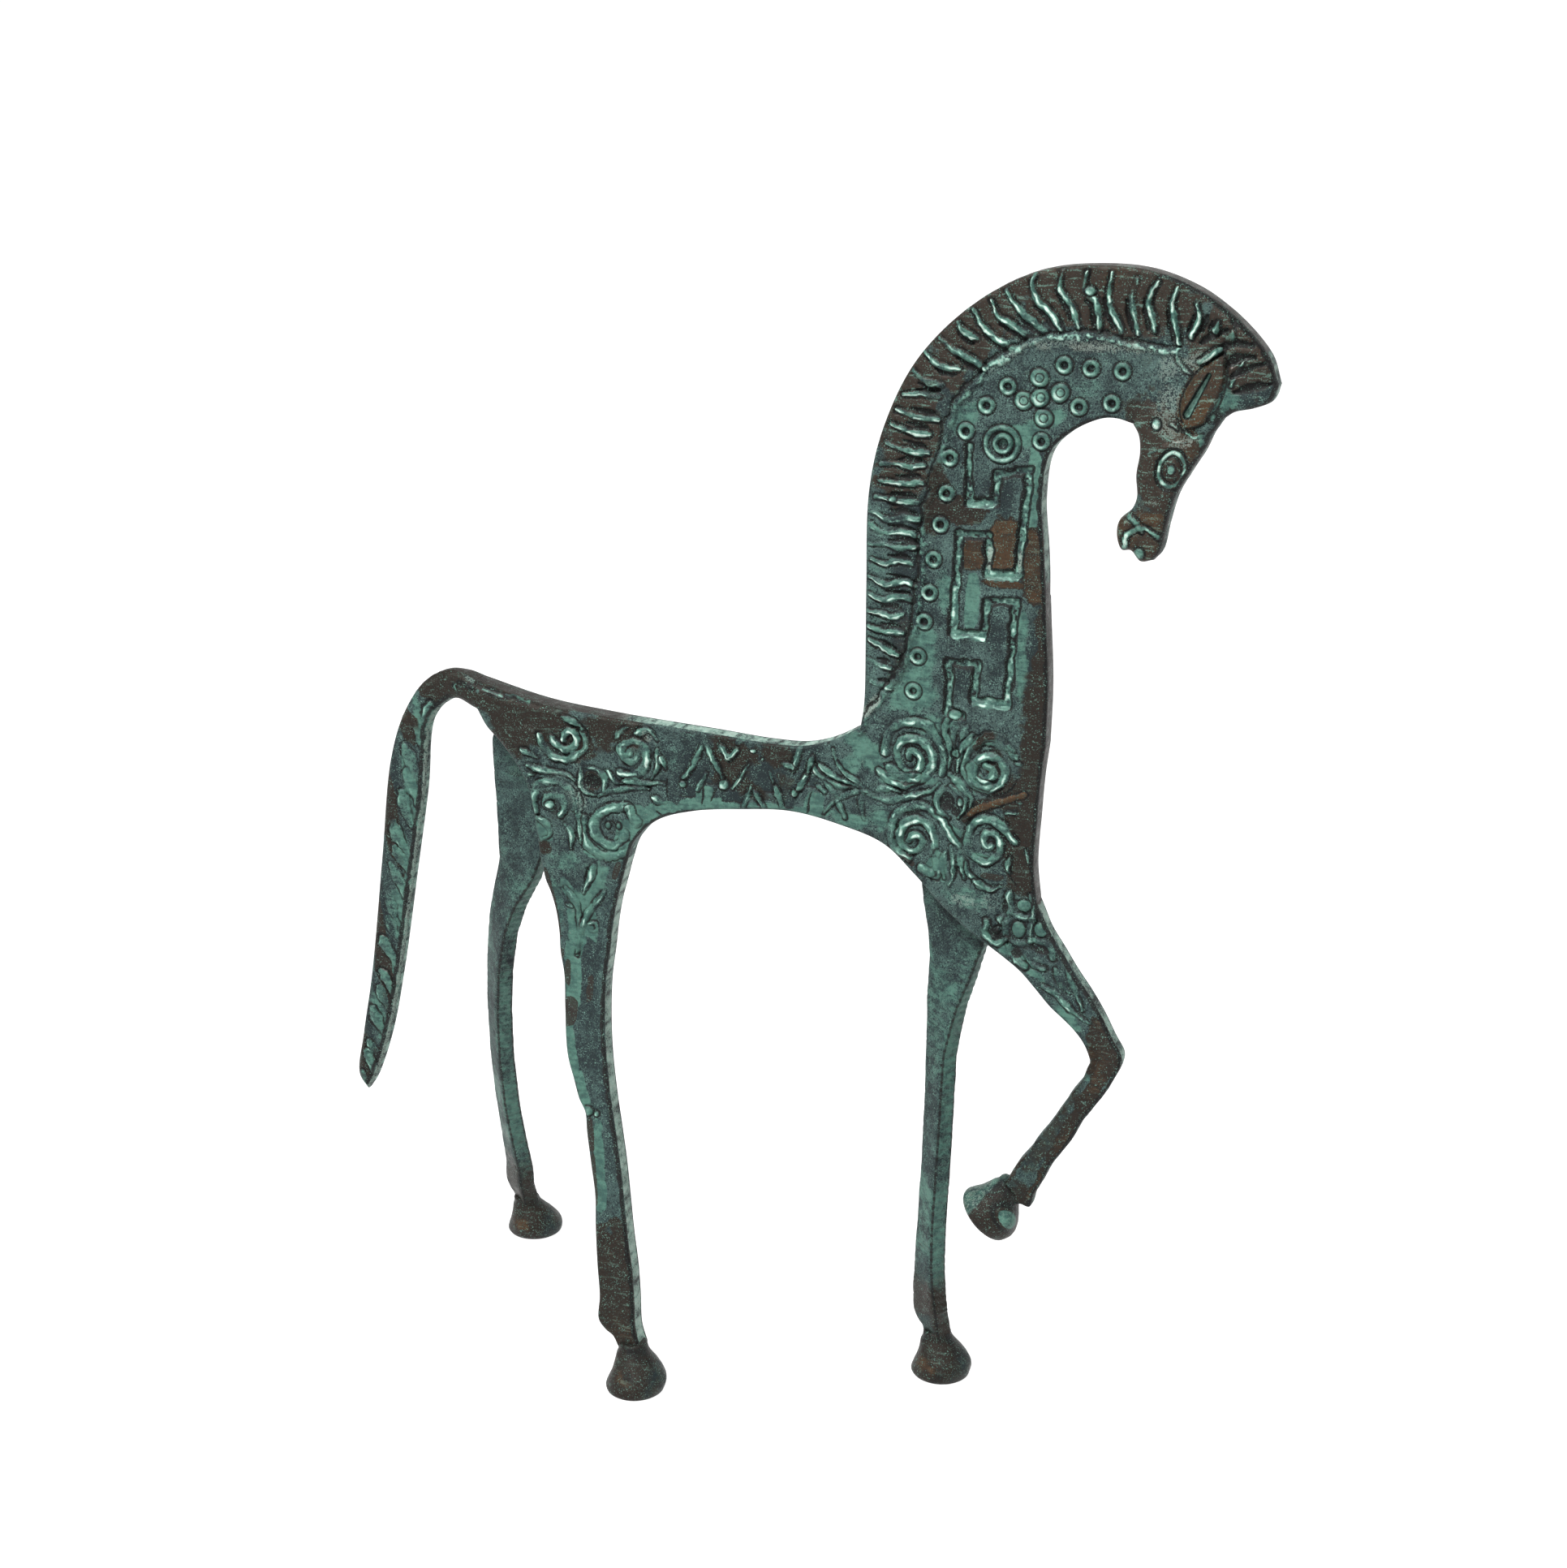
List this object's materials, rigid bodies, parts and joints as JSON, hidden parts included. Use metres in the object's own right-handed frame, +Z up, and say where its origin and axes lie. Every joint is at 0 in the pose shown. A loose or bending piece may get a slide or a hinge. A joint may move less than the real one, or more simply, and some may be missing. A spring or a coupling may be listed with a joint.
{
  "type": "bronze horse sculpture",
  "caption": "Flat-cast archaic horse ornament with an arched crest, long tail and one raised fore leg, standing on three small bell-shaped hooves.",
  "frame": {"origin": "on the ground, under the middle of the figure's bounding box", "axes": "+X towards the head, +Z up along the height, -Y the near side on which the fore leg is raised"},
  "size_m": [0.2351, 0.0818, 0.2801],
  "materials": {
    "body_patina": "cast bronze with a green patina, bright on the raised lines and dark in the grooves",
    "crest_patina": "cast bronze rubbed back to brown, with green left between the strands",
    "leg_patina": "cast bronze with a green patina and filed grey-green edges, brown towards the foot",
    "hoof_bronze": "cast bronze, dark brown, with green in the recesses"
  },
  "bodies": {
    "root": {"barrel": "body_patina", "neck": "body_patina", "mane": "crest_patina", "head": "crest_patina", "tail": "body_patina", "near_hind_leg": "leg_patina", "far_hind_leg": "leg_patina", "near_fore_leg": "leg_patina", "far_fore_leg": "leg_patina", "near_hind_hoof": "hoof_bronze", "far_hind_hoof": "hoof_bronze", "near_fore_hoof": "hoof_bronze", "far_fore_hoof": "hoof_bronze"}
  },
  "joints": []
}
